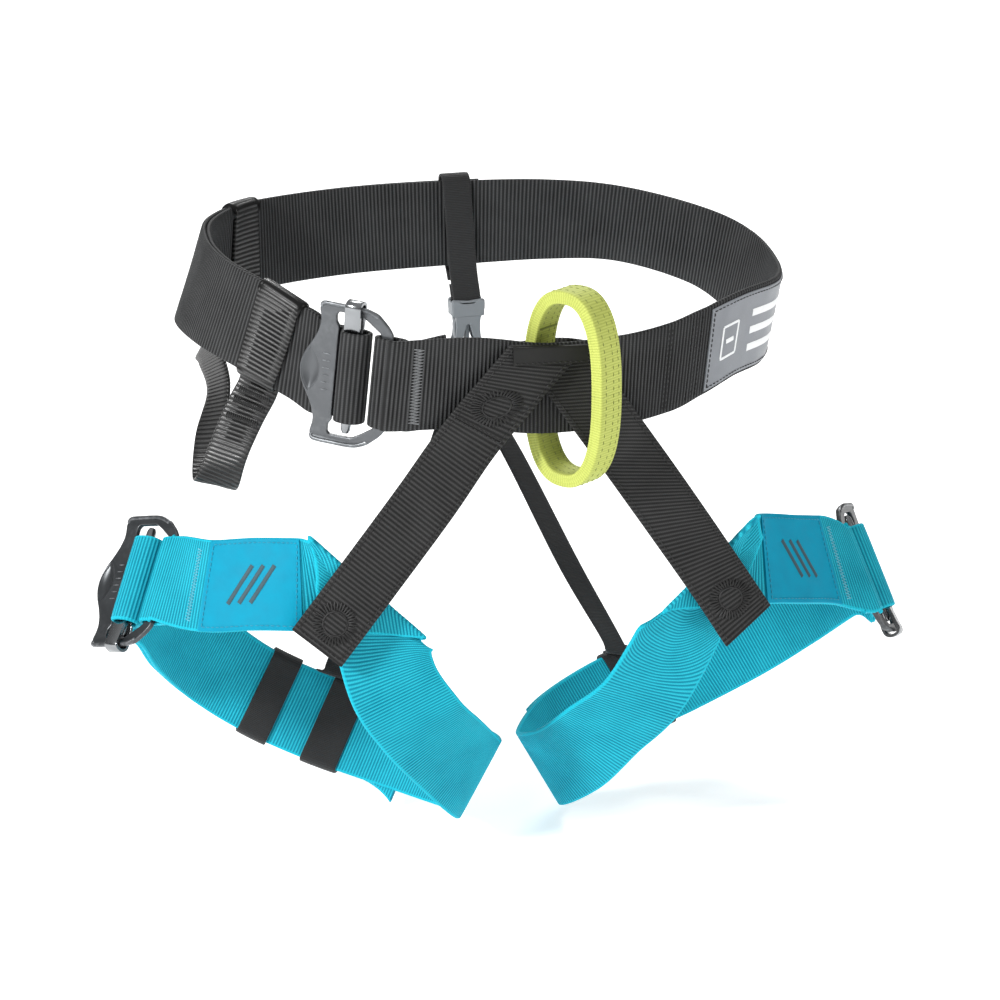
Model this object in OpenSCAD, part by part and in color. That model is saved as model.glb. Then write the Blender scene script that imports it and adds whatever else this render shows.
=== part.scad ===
// Climbing harness: sit harness with a waist belt, two leg loops, risers, a belay loop,
// slide-block buckles, a gear loop and an elastic rear riser with a side-release buckle.
// Millimetres. +Z up, -Y is the front (the belay loop side), +X is the wearer's left.
// The origin is the middle of the waist belt's ring.

/* [Webbing] */
// width of the waist and leg-loop webbing
web_w = 45; // [40:1:50]
// thickness of the waist and leg-loop webbing
web_t = 2.2; // [1.6:0.1:2.6]
// width of the two risers
riser_w = 30; // [25:1:35]
// thickness of the risers
riser_t = 2; // [1.6:0.1:2.4]
// width of the gear-loop webbing
gear_w = 21; // [18:1:25]
// thickness of the gear-loop webbing
gear_t = 1.8; // [1.4:0.1:2.2]
// width of the elastic rear risers
elastic_w = 13; // [10:1:16]
// thickness of elastic bands, keepers and the rear tab
elastic_t = 1.4; // [1:0.1:1.8]
// thickness of the sewn-on labels
label_t = 0.7; // [0.5:0.1:1]
// clear gap between two layers that lie on each other
gap = 0.35; // [0.3:0.05:0.6]

/* [Belay loop] */
// width of the belay loop's webbing
loop_w = 16.5; // [15:0.5:22]
// thickness of its stitched layers
loop_t = 6.5; // [4:0.5:7]
// height of the loop, outside
loop_h = 97; // [90:1:115]
// depth of the loop, outside
loop_d = 47.5; // [40:0.5:55]
// turn of the loop about the vertical, degrees
loop_turn = 36; // [0:1:40]

/* [Buckles] */
// thickness of a buckle's steel plate
plate_t = 2.5; // [2:0.1:3]
// thickness of a slide bar
bar_t = 4.6; // [4:0.1:5]
// half the width of a slide bar
bar_r = 3; // [2.5:0.1:3.2]
// thickness of the side-release buckle
release_t = 8.6; // [8:0.2:9]

/* [Hidden] */
$fn = 48;
web_col = [0.09, 0.09, 0.10];
blue = [0.05, 0.62, 0.75];
lime = [0.72, 0.82, 0.22];
steel = [0.30, 0.31, 0.33];
chrome = [0.80, 0.81, 0.82];
plastic = [0.50, 0.54, 0.57];
satin = [0.62, 0.65, 0.68];
steps = 4; // spline steps between two stations

// ---- Ribbons -------------------------------------------------------------------------
// A station is [x, y, z, hx, hy, hz]: a point on the strap's centre line and the direction
// across the strap to its edge A. The normal side N is T x H, T being the way along.
function pos(v) = [v[0], v[1], v[2]];
function across(v) = [v[3], v[4], v[5]];
function unit(v) = v / norm(v);
function four(p, t) = let (n = len(p), i = max(0, min(floor(t), n - 2)), b = p[i],
    c = p[i + 1], a = i > 0 ? p[i - 1] : 2 * b - c, d = i + 2 < n ? p[i + 2] : 2 * c - b)
    [a, b, c, d, t - i];
function at(p, t) = let (q = four(p, t), f = q[4]) 0.5 * (2 * q[1] + (q[2] - q[0]) * f
    + (2 * q[0] - 5 * q[1] + 4 * q[2] - q[3]) * f * f
    + (3 * q[1] - 3 * q[2] + q[3] - q[0]) * f * f * f);
function along(p, t) = let (q = four(p, t), f = q[4]) unit(pos((q[2] - q[0])
    + 2 * (2 * q[0] - 5 * q[1] + 4 * q[2] - q[3]) * f
    + 3 * (3 * q[1] - 3 * q[2] + q[3] - q[0]) * f * f));
// a direction longer than 26 is a fold line's true half length, kept as it is
function ring(p, t, w) = let (s = at(p, t), d = along(p, t), h = across(s), hp = h - (h * d) * d,
    f = max(0, min(1, (norm(h) - 26) / 8)), k = w / 2 / max(norm(hp), 0.55 * norm(h)))
    [pos(s), h * (k * (1 - f) + f), unit(cross(d, h))];
// cuts of one path are on one grid and both faces are split along the same diagonals, so
// layers on one path stay parallel
function cuts(t0, t1) = concat([t0], [for (i = [floor(t0 * steps + 0.01) + 1:1:
    ceil(t1 * steps - 0.01) - 1]) i / steps], [t1]);
// a solid strap along part of a path, moved sideways by off
// and slipped along its own width by up to slip, before station us
module ribbon(p, w, t, off = 0, t0 = 0, t1 = -1, slip = 0, us = 0) {
    ts = cuts(t0, t1 < 0 ? len(p) - 1 : t1);
    n = len(ts);
    pts = [for (u = ts) let (r = ring(p, u, w),
        c = r[0] + off * r[2] + slip * pow(max(0, us - u) / max(0.01, us - t0), 2) * unit(r[1]),
        e = r[2] * t / 2)
        each [c - r[1] - e, c + r[1] - e, c + r[1] + e, c - r[1] + e]];
    polyhedron(pts, concat([[0, 1, 2, 3]],
        [for (i = [0:n - 2]) for (j = [0:3]) let (a = 4 * i + j, b = 4 * i + (j + 1) % 4)
            each j == 2 ? [[a, a + 4, b], [b, a + 4, b + 4]] : [[a, a + 4, b + 4], [a, b + 4, b]]],
        [[4 * n - 1, 4 * n - 2, 4 * n - 3, 4 * n - 4]]));
}
// a hollow band round a strap from offset lo to offset hi, its inside width w
module band(p, w, t, lo, hi, t0, t1) {
    ts = cuts(t0, t1);
    n = len(ts);
    pts = [for (u = ts) let (r = ring(p, u, w), g = r[1] * (1 + 2 * t / w), c = r[0], m = r[2])
        each [c - g + (lo - t) * m, c + g + (lo - t) * m, c + g + (hi + t) * m,
            c - g + (hi + t) * m, c - r[1] + lo * m, c + r[1] + lo * m, c + r[1] + hi * m,
            c - r[1] + hi * m]];
    polyhedron(pts, concat(
        [for (j = [0:3]) let (k = (j + 1) % 4) each [[j, k, k + 4], [j, k + 4, j + 4]]],
        [for (i = [0:n - 2]) for (j = [0:3]) let (a = 8 * i + j, b = 8 * i + (j + 1) % 4)
            each j == 2 ? [[a, a + 8, b], [b, a + 8, b + 8], [a + 4, b + 4, a + 12],
                [b + 4, b + 12, a + 12]] : [[a, a + 8, b + 8], [a, b + 8, b],
                [a + 4, b + 12, a + 12], [a + 4, b + 4, b + 12]]],
        [for (j = [0:3]) let (o = 8 * (n - 1), k = (j + 1) % 4)
            each [[o + j, o + k + 4, o + k], [o + j, o + j + 4, o + k + 4]]]));
}

// ---- Slide-block buckles ---------------------------------------------------------------
// [slide bar's centre, direction to the fixed bar, direction up across the webbing]
waist_at = [[-90.5, -93, -6], [0.80, -0.59, -0.10], [0.09, -0.05, 0.99]];
right_at = [[-184, -31, -120.5], [0.55, -0.80, 0.23], [0.40, 0.50, 0.77]];
left_at = [[190.5, -49.5, -141], [-0.54, -0.79, 0.26], [-0.25, 0.45, 0.86]];
function tdir(f) = unit(f[1]);
function updir(f) = unit(f[2] - (f[2] * tdir(f)) * tdir(f));
// outward normal; s is 1 on the wearer's right, -1 on the left
function ndir(f, s) = s * cross(tdir(f), updir(f));
// a station of a strap at the buckle: x along, z out; k is 1 or -1 for the strap's edge A
function st(f, s, x, z, k = 1) = let (c = f[0] + x * tdir(f) + z * ndir(f, s),
    h = 22 * k * updir(f)) concat(c, h);
module place(f, s) {
    x = tdir(f);
    y = updir(f);
    z = ndir(f, s);
    multmatrix([[x[0], y[0], z[0], f[0][0]], [x[1], y[1], z[1], f[0][1]],
        [x[2], y[2], z[2], f[0][2]], [0, 0, 0, 1]]) children();
}
frame_side = [[-7.5, 34.8], [-16.5, 34.5], [-18.3, 31], [-17, 24], [-20, 16], [-24.5, 9], [-26, 3]];
frame_far = [[20, 21], [20, 25], [12.5, 32.5], [7.5, 34.8]];
function up_down(a) = [for (i = [len(a) - 1:-1:0]) [a[i][0], -a[i][1]]];
window = [[-7.5, 29.5], [-7.5, -29.5], [6, -29.5], [14.5, -23], [14.5, 23], [6, 29.5]];
// the flat plate with its window and the fixed bar at x = 14.5 to 20
module buckle_frame(f, s) {
    place(f, s) translate([0, 0, -plate_t / 2]) linear_extrude(plate_t) difference() {
        polygon(concat(frame_side, up_down(frame_side), [for (q = up_down(frame_far)) q],
            [for (i = [0:len(frame_far) - 1]) frame_far[i]]));
        polygon(window);
    }
}
// the sliding bar: a rounded rod with a pair of tongues over each rail
module slide_bar(f, s) {
    lip = plate_t / 2 + gap;
    place(f, s) {
        translate([0, 29, 0]) rotate([90, 0, 0]) linear_extrude(58)
            intersection() { circle(bar_r); square([2 * bar_r, bar_t], center = true); }
        for (k = [-1, 1]) for (m = [0, 1]) mirror([0, 0, m]) translate([-4, k > 0 ? 24 : -33.6, lip])
            cube([8, 9.6, 1.6]);
        for (k = [-1, 1]) translate([-2.2, k > 0 ? 24.5 : -28.9, -lip - 0.1])
            cube([4.4, 4.4, 2 * lip + 0.2]);
    }
}
// webbing rolled over the slide bar, it travels with the bar
function roll(f, s, k) = [for (q = [[-9.3, -5.4], [-3, -5.6], [3, -5.2], [6.9, -3.2], [7.6, 0.6],
    [5.4, 4.2], [0.4, 5.8], [-3.8, 4.6], [-5.2, 0.6], [-6.3, -2.5], [-9.3, -2.8]])
    st(f, s, q[0], q[1], k)];
// webbing sewn round the fixed bar: in behind the bar, round it and out in front
function fixed(f, s, k) = [for (q = [[30, -2.4], [24, -2.9], [19, -2.9], [14.6, -2.8],
    [11.8, 0], [14.6, 2.8], [19, 2.9], [24, 2.5]]) st(f, s, q[0], q[1], k)];

// ---- Paths -----------------------------------------------------------------------------
waist_ring = [[-36, -111, -9, 1, 0, 22], [0, -112, -14, 0, 0, 22], [38, -109, -14, 1, 0, 22],
    [67, -100, -12, 2, 0, 22], [87, -91, -8, 2, -1, 22], [110, -76, -4, 3, -1, 22],
    [135, -50, -5, 4, -1, 22], [149.5, -5, -7, 4, -1, 22], [146, 28, 0, 4, -2, 21],
    [131, 55, 8, 1, -6, 21], [100, 85, 14, 0, -7, 21], [66, 101, 15, 0, -4, 22],
    [20, 111, 14, 0, 0, 22], [-39, 110, 14, 0, 4, 22], [-92, 90, 15, 1, 6, 22],
    [-126.5, 57, 16, 5, 3, 22], [-141.5, 15, 18, 8, 0, 21], [-141, -23.5, 17, 7, -2, 21],
    [-129, -51, 12, 6, -2, 21], [-110.5, -70.5, 1.8, 3, -1, 22]];
waist_start = concat([[-48, -106, -8, 1, 0, 22]], fixed(waist_at, 1, 1));
waist_path = concat(waist_start, waist_ring,
    [st(waist_at, 1, -17, -5.7), st(waist_at, 1, -9.7, -5.4)]);
first = len(waist_start);
fold_right = [[-88.5, -112, -107, -27, 4, 26.5], [-87.6, -111.2, -108, -27, 4, 26.5],
    [-88.2, -109, -108.6, -27, 4, 26.5]];
fold_left = [[86, -115.5, -109, 24, 3.5, 20.5], [85.2, -114.8, -109.9, 24, 3.5, 20.5],
    [85.7, -112.4, -110.6, 24, 3.5, 20.5]];
leg_right_front = concat([for (q = fixed(right_at, 1, 1)) q], [[-158, -72, -112, 5, 5, 21],
    [-138, -88, -108, 5, 5, 21.5], [-122, -99.5, -106, 3, 5, 22],
    [-108, -105.5, -106, -8, 5, 22.5], [-98, -109.5, -106.5, -18, 4.5, 24.5]]);
leg_right_back = [[-85.6, -110.5, -120, -24, 3, 16.5], [-82, -112, -132, -23, 2, 8], [-75, -113, -158, -21, 0, -7],
    [-61, -110, -180, -20, 2, -10], [-44, -97, -200, -18, 0, -15], [-22.5, -72, -225, -13, -2, -20],
    [-17, -42, -232, -12, -2, -20], [-40, -9, -230, -9, -1, -20], [-76, 20, -221, -10, -2, -20],
    [-106, 34, -208, -10, 0, -20], [-130, 35, -190, -11, 0, -20], [-152, 22, -166, -11, -4, -19],
    [-167, 7, -145, -10, -7, -19], [-183, -3, -135, -9, -10, -18]];
leg_left_front = concat([for (q = fixed(left_at, -1, 1)) q], [[160, -76, -126, -4, 7, 21],
    [138, -90, -119, -3, 7, 21], [120, -100, -114, -2, 6, 21.5],
    [106, -107, -111.5, 7, 5.5, 22], [96, -112, -110, 16, 4.5, 21.5]]);
leg_left_back = [[80.5, -112.5, -121, 23.5, 2.5, 13], [74, -112, -136, 22, 1, 4], [55, -105, -176, 21, 0, -7],
    [37, -90, -200, 18.5, -2, -11], [26, -71, -220, 14.5, -2, -16],
    [19, -42, -234, 10.5, -4, -19.5], [42, -4, -232, 10, -6, -19.5], [74, 12, -222, 10, -7, -19.5],
    [112, 24, -214, 11, -7, -18], [146, 19, -197, 10, -7, -20], [169, 3, -176, 9.5, -8, -20],
    [185, -20, -154, 7, -9, -19]];
leg_right_path = concat(leg_right_front, fold_right, leg_right_back,
    [st(right_at, 1, -20, -9.5, -1), st(right_at, 1, -14.5, -6.6, -1), st(right_at, 1, -9.7, -5.4, -1)]);
leg_left_path = concat(leg_left_front, fold_left, leg_left_back,
    [st(left_at, -1, -20.5, -11, -1), st(left_at, -1, -14.5, -6.8, -1), st(left_at, -1, -9.7, -5.4, -1)]);
riser_right_path = [[1, -117, 8.5, -20.6, 0, 1.5], [-18, -117.5, -12, -19, 1, 5],
    [-39, -118.5, -35, -13, 2, 9], [-61, -119.5, -64, -11, 5, 9], [-89, -117.5, -101, -11, 5, 9],
    [-114, -115, -134, -11, 5, 9]];
riser_left_path = [[2.5, -114.5, 7, 19, 0, 0], [16.9, -114.6, -13, 19, 0, 0], [50, -118, -61, 18, 0, -1.5],
    [85.6, -119.5, -114, 14, 2, 5], [103, -119.5, -141, 10.6, 1, 8.5]];
gear_path = [[-128.2, -58.5, -18.8, -8, 6, 3.4], [-134.5, -56, -32, -8, 6, 2.5],
    [-142, -54, -50, -7.5, 6.5, 2], [-145.5, -49.5, -64, -7.5, 4, 3], [-146.5, -44, -69, -8.5, 0.5, 3],
    [-146, -38, -67, -8.5, 3, 0], [-144, -27, -48, -6, 8, -2.5], [-137, -12, -30, -3, 9.5, -4],
    [-136, 10, -20, -2, 9.5, -5], [-132, 36, -19, -1, 8, -7], [-118, 64, -20, 2, 7, -8],
    [-103, 82, -17, 5, 8.5, -5], [-98, 87, -12, 7, 7, 0]];
plug_at = [22.5, 106, -25];
elastic_left_path = [[23.5, 107, -69.6, 6, 1, 0], [25.5, 104.6, -74, 6, 2, -1], [40.5, 80, -105, 6, 2, -1],
    [60.5, 44, -156, 6, 2, 0], [77.5, 19.5, -193, 6, 2, -2]];
elastic_right_path = [[20, 103, -69.6, -6, 1, 0], [17, 100.6, -74, -6, 2, -1],
    [-6, 76, -112, -6, 3, -1], [-42, 44, -163, -6, 2, 1], [-69, 23.5, -193, -6, 2, 2]];

// ---- Waist belt ------------------------------------------------------------------------
module waist_webbing() color(web_col) ribbon(waist_path, web_w, web_t);
last = len(waist_path) - 1;
layer = web_t + gap; // from one layer's middle to the next
// the free end runs back outside the belt from the slide bar to the rear tab
module waist_tail() color(web_col)
    ribbon(waist_path, web_w, web_t, layer, first + 11.8, last);
module waist_label() color(satin)
    ribbon(waist_path, web_w - 4, label_t, (web_t + label_t) / 2 + 0.15, first + 4.1, first + 7);
module waist_frame() color(steel) buckle_frame(waist_at, 1);
module waist_slide_bar() color(chrome) slide_bar(waist_at, 1);
module waist_bar_wrap() color(web_col) ribbon(roll(waist_at, 1, 1), web_w, web_t);

// ---- Rear tab, side-release buckle and elastic risers -----------------------------------
function tab(y, z) = [19.5 + 0.07 * (14 - z), y, z, 7.5, 0, 0];
module rear_tab() color(web_col) ribbon([for (q = [[112.4, -17], [114, -13], [116.6, -6],
    [116.6, 14], [116.8, 33], [115.5, 38.2], [111.8, 39.8], [108.7, 37.8], [107.7, 33],
    [107.7, 14], [107.7, -6], [106.8, -14], [104.8, -21], [103.65, -26], [103.8, -29.6],
    [106, -31.4], [108.2, -29.6], [108.4, -25], [110, -18.5]]) tab(q[0], q[1])], 15, elastic_t);
module at_plug() translate(plug_at) children();
// flat outline of half the socket's front and back walls
wall = [[0, 0], [9, 0], [9, -6], [6.6, -10], [6.2, -15], [6.8, -21], [8.8, -25], [8.8, -28],
    [5, -28], [2.6, -20], [0.8, -14], [0, -14]];
module both() { children(); mirror([1, 0, 0]) children(); }
module release_socket() color(plastic) at_plug() {
    difference() {
        union() {
            for (k = [-1, 1]) translate([0, k * (release_t / 2 - 0.8) + 0.8, 0]) rotate([90, 0, 0])
                linear_extrude(1.6) both() polygon(wall);
            translate([-9, -release_t / 2, -9]) cube([18, release_t, 9]);
        }
        translate([-7.9, -3.45, -8]) cube([15.8, 6.9, 9]);
        translate([-7.9, -5, -2]) cube([15.8, 2.2, 3]);
    }
    translate([0, 0, -3.8]) rotate([0, 90, 0]) cylinder(r = 1.3, h = 17, center = true);
    both() translate([7.4, -4, -28]) cube([1.4, 8, 4.4]);
}
pivot = [5.5, 0, -28.4];
module release_plug() color(plastic) at_plug() difference() {
    union() {
        translate([-8.7, -4, -34.5]) cube([17.4, 8, 6.1]);
        translate([-1.2, -2, -29]) cube([2.4, 4, 19]);
        translate([-8.7, -3, -43]) cube([17.4, 6, 9]);
    }
    both() translate(pivot) rotate([90, 0, 0]) cylinder(r = 1.7, h = 9, center = true);
    translate([-7, -4, -40.9]) cube([14, 8, 5.2]);
}
// one springy arm of the plug, turning at its root
module release_arm() translate([0, 2, 0]) rotate([90, 0, 0]) linear_extrude(4) union() {
    translate([pivot[0], pivot[2]]) circle(1.3);
    polygon([[4.6, -28], [6.4, -28], [6.6, -22], [7.1, -18], [7.1, -13], [6.4, -11], [5.2, -11],
        [4.9, -14], [5, -20]]);
}
module release_arm_left() color(plastic) at_plug() release_arm();
module release_arm_right() color(plastic) at_plug() mirror([1, 0, 0]) release_arm();
module elastic_riser_left() color(web_col) ribbon(elastic_left_path, elastic_w, elastic_t);
module elastic_riser_right() color(web_col) ribbon(elastic_right_path, elastic_w, elastic_t);

// ---- Tie-in ----------------------------------------------------------------------------
module tie_in_hem() color(web_col) ribbon([[-17, -119, 4.5, 0, 0, 4], [2, -119.2, 4, 0, 0, 4],
    [20, -119, 3.4, 0, 0, 4]], 9, 1.2);
module tie_in_flap() color(web_col) ribbon([[-34, -108.6, -12, 0, 0, 1],
    [-24, -105, -12.5, 0, 0, 1], [-14, -93, -13, 0, 0, 1], [2, -87, -13, 0, 0, 1],
    [18, -88, -13, 0, 0, 1], [30, -99, -13, 0, 0, 1], [40, -105.5, -13, 0, 0, 1]], 33, riser_t);
// stitched ring of webbing, its section carried round a squarish oval
function sgn_pow(v, e) = (v < 0 ? -1 : 1) * pow(abs(v), e);
module belay_loop() {
    n = 56;
    pts = [for (i = [0:n - 1]) let (a = 360 * i / n, c = sgn_pow(cos(a), 0.8),
        s = sgn_pow(sin(a), 0.8), ro = [loop_d / 2 * c, loop_h / 2 * s],
        ri = [(loop_d / 2 - loop_t) * c, (loop_h / 2 - loop_t) * s])
        each [[-loop_w / 2, -ro[0], ro[1]], [loop_w / 2, -ro[0], ro[1]],
            [loop_w / 2, -ri[0], ri[1]], [-loop_w / 2, -ri[0], ri[1]]]];
    color(lime) translate([13, -117, -12.8]) rotate([0, 0, loop_turn]) polyhedron(pts,
        [for (i = [0:n - 1]) for (j = [0:3]) let (a = 4 * i + j, b = 4 * i + (j + 1) % 4,
            c = 4 * ((i + 1) % n) + j, d = 4 * ((i + 1) % n) + (j + 1) % 4)
            each [[a, d, c], [a, b, d]]]);
}
module riser_right() color(web_col) ribbon(riser_right_path, riser_w, riser_t);
module riser_left() color(web_col) ribbon(riser_left_path, riser_w, riser_t);

// ---- Gear loop -------------------------------------------------------------------------
in_side = -web_t / 2 - gap;
out_side = web_t / 2 + layer + gap;
module gear_wrap_front() color(web_col)
    band(waist_path, web_w + 1, gear_t, in_side, out_side, first + 18.08, first + 18.85);
module gear_wrap_rear() color(web_col)
    band(waist_path, web_w + 1, gear_t, in_side, out_side, first + 14.05, first + 14.47);
module gear_loop() color(web_col) ribbon(gear_path, gear_w, gear_t);

// ---- Leg loops -------------------------------------------------------------------------
module leg_webbing_right() color(blue) ribbon(leg_right_path, web_w, web_t);
module leg_webbing_left() color(blue) ribbon(leg_left_path, web_w, web_t);
right_end = len(leg_right_path) - 1;
left_end = len(leg_left_path) - 1;
// free end of a leg loop, back outside the strap from the slide bar
module leg_tail(p, s, n, slip, us) color(blue)
    ribbon(p, web_w, web_t, s * layer, len(p) - 1 - n, len(p) - 1, slip, us);
module leg_tail_right() leg_tail(leg_right_path, -1, 9, 7, 23.5);
module leg_tail_left() leg_tail(leg_left_path, 1, 8.25, 0, 0);
module leg_frame_right() color(steel) buckle_frame(right_at, 1);
module leg_frame_left() color(steel) buckle_frame(left_at, -1);
module leg_slide_bar_right() color(chrome) slide_bar(right_at, 1);
module leg_slide_bar_left() color(chrome) slide_bar(left_at, -1);
module leg_bar_wrap_right() color(blue) ribbon(roll(right_at, 1, 1), web_w, web_t);
module leg_bar_wrap_left() color(blue) ribbon(roll(left_at, -1, 1), web_w, web_t);
module leg_label_right() color(blue)
    ribbon(leg_right_path, web_w - 1, label_t, (web_t + label_t) / 2 + 0.2, 8, 10.28);
module leg_label_left() color(blue)
    ribbon(leg_left_path, web_w - 1, label_t, -(web_t + label_t) / 2 - 0.2, 8, 10.28);
module leg_band(p, s, u, du, ease = 0) color(web_col) band(p, web_w + 1, elastic_t,
    (s > 0 ? in_side : -out_side) - ease, (s > 0 ? out_side : -in_side) + ease, u, u + du);
module keeper_right() leg_band(leg_right_path, -1, 24.65, 0.5, 0.4);
module riser_sleeve_right() leg_band(leg_right_path, -1, 23.68, 0.45);
module riser_sleeve_left() leg_band(leg_left_path, 1, 23.2, 0.45);

waist_webbing();
waist_tail();
waist_label();
waist_frame();
waist_slide_bar();
waist_bar_wrap();
rear_tab();
release_socket();
release_plug();
release_arm_left();
release_arm_right();
elastic_riser_left();
elastic_riser_right();
tie_in_hem();
tie_in_flap();
belay_loop();
gear_wrap_front();
gear_wrap_rear();
gear_loop();
riser_left();
riser_right();
leg_webbing_left();
leg_webbing_right();
leg_tail_left();
leg_tail_right();
leg_frame_left();
leg_frame_right();
leg_slide_bar_left();
leg_slide_bar_right();
leg_bar_wrap_left();
leg_bar_wrap_right();
leg_label_left();
leg_label_right();
keeper_right();
riser_sleeve_left();
riser_sleeve_right();
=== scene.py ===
"""Climbing harness: webbing, stitching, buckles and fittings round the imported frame.

Lengths are in millimetres until a mesh is built, which turns them to metres.
+Z up, -Y front, +X the wearer's left, origin in the middle of the waist belt's ring.
"""

import math

import bpy
import numpy as np
from mathutils import Matrix, Vector


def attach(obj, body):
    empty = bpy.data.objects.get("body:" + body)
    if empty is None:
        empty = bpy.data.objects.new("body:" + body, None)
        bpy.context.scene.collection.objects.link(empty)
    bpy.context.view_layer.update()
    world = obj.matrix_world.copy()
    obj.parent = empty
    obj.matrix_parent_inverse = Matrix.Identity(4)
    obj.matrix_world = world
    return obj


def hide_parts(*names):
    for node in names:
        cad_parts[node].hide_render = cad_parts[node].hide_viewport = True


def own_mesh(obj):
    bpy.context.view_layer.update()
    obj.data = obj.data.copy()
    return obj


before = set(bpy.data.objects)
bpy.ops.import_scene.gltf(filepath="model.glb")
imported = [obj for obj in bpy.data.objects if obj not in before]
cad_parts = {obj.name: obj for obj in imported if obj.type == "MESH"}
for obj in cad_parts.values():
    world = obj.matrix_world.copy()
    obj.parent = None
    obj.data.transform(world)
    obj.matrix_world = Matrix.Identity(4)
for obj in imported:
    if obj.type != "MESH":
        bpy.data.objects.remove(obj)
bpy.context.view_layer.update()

# ---- Sizes, as in the CAD source -----------------------------------------------------------
WEB_W, WEB_T = 45.0, 2.2
RISER_W, RISER_T = 30.0, 2.0
GEAR_W, GEAR_T = 21.0, 1.8
ELASTIC_W, ELASTIC_T = 13.0, 1.4
LABEL_T = 0.7
GAP = 0.35
LOOP_W, LOOP_T, LOOP_H, LOOP_D, LOOP_TURN = 16.5, 6.5, 97.0, 47.5, 36.0
LAYER = WEB_T + GAP
PLATE_T = 2.5

# ---- Fineness ------------------------------------------------------------------------------
RIB_POWER = 0.8
ROWS_PER_RIB = 5
COLS, FOLD_COLS = 7, 64
FOLD = (10.6, 18.2)


# ---- Paths ---------------------------------------------------------------------------------
def unit(v):
    v = np.asarray(v, float)
    return v / np.linalg.norm(v, axis=-1, keepdims=True)


class Buckle:
    """A buckle's frame: x towards the fixed bar, y up across the webbing, z outward."""

    def __init__(self, at, along, up, side):
        self.o = np.array(at, float)
        self.x = unit(along)
        up = np.array(up, float)
        self.y = unit(up - up.dot(self.x) * self.x)
        self.z = side * np.cross(self.x, self.y)
        self.side = side

    def station(self, x, z, k=1):
        return [*(self.o + x * self.x + z * self.z), *(22 * k * self.y)]

    def place(self, points):
        p = np.asarray(points, float)
        return self.o + p[..., :1] * self.x + p[..., 1:2] * self.y + p[..., 2:3] * self.z

    def stations(self, places):
        return [self.station(x, z) for x, z in places]


FIXED = [(30, -2.4), (24, -2.9), (19, -2.9), (14.6, -2.8), (11.8, 0), (14.6, 2.8), (19, 2.9),
         (24, 2.5)]
ROLL = [(-9.3, -5.4), (-3, -5.6), (3, -5.2), (6.9, -3.2), (7.6, 0.6), (5.4, 4.2), (0.4, 5.8),
        (-3.8, 4.6), (-5.2, 0.6), (-6.3, -2.5), (-9.3, -2.8)]
WAIST = Buckle([-90.5, -93, -6], [0.80, -0.59, -0.10], [0.09, -0.05, 0.99], 1)
RIGHT = Buckle([-184, -31, -120.5], [0.55, -0.80, 0.23], [0.40, 0.50, 0.77], 1)
LEFT = Buckle([190.5, -49.5, -141], [-0.54, -0.79, 0.26], [-0.25, 0.45, 0.86], -1)

waist_start = [[-48, -106, -8, 1, 0, 22]] + WAIST.stations(FIXED)
waist_ring = [
    [-36, -111, -9, 1, 0, 22], [0, -112, -14, 0, 0, 22], [38, -109, -14, 1, 0, 22],
    [67, -100, -12, 2, 0, 22], [87, -91, -8, 2, -1, 22], [110, -76, -4, 3, -1, 22],
    [135, -50, -5, 4, -1, 22], [149.5, -5, -7, 4, -1, 22], [146, 28, 0, 4, -2, 21],
    [131, 55, 8, 1, -6, 21], [100, 85, 14, 0, -7, 21], [66, 101, 15, 0, -4, 22],
    [20, 111, 14, 0, 0, 22], [-39, 110, 14, 0, 4, 22], [-92, 90, 15, 1, 6, 22],
    [-126.5, 57, 16, 5, 3, 22], [-141.5, 15, 18, 8, 0, 21], [-141, -23.5, 17, 7, -2, 21],
    [-129, -51, 12, 6, -2, 21], [-110.5, -70.5, 1.8, 3, -1, 22]]
FIRST = len(waist_start)
waist_path = waist_start + waist_ring + [WAIST.station(-17, -5.7), WAIST.station(-9.7, -5.4)]

right_path = RIGHT.stations(FIXED) + [
    [-158, -72, -112, 5, 5, 21], [-138, -88, -108, 5, 5, 21.5], [-122, -99.5, -106, 3, 5, 22],
    [-108, -105.5, -106, -8, 5, 22.5], [-98, -109.5, -106.5, -18, 4.5, 24.5],
    [-88.5, -112, -107, -27, 4, 26.5],
    [-87.6, -111.2, -108, -27, 4, 26.5], [-88.2, -109, -108.6, -27, 4, 26.5],
    [-85.6, -110.5, -120, -24, 3, 16.5], [-82, -112, -132, -23, 2, 8],
    [-75, -113, -158, -21, 0, -7], [-61, -110, -180, -20, 2, -10],
    [-44, -97, -200, -18, 0, -15], [-22.5, -72, -225, -13, -2, -20],
    [-17, -42, -232, -12, -2, -20], [-40, -9, -230, -9, -1, -20], [-76, 20, -221, -10, -2, -20],
    [-106, 34, -208, -10, 0, -20], [-130, 35, -190, -11, 0, -20], [-152, 22, -166, -11, -4, -19],
    [-167, 7, -145, -10, -7, -19], [-183, -3, -135, -9, -10, -18],
    RIGHT.station(-20, -9.5, -1), RIGHT.station(-14.5, -6.6, -1), RIGHT.station(-9.7, -5.4, -1)]
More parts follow.
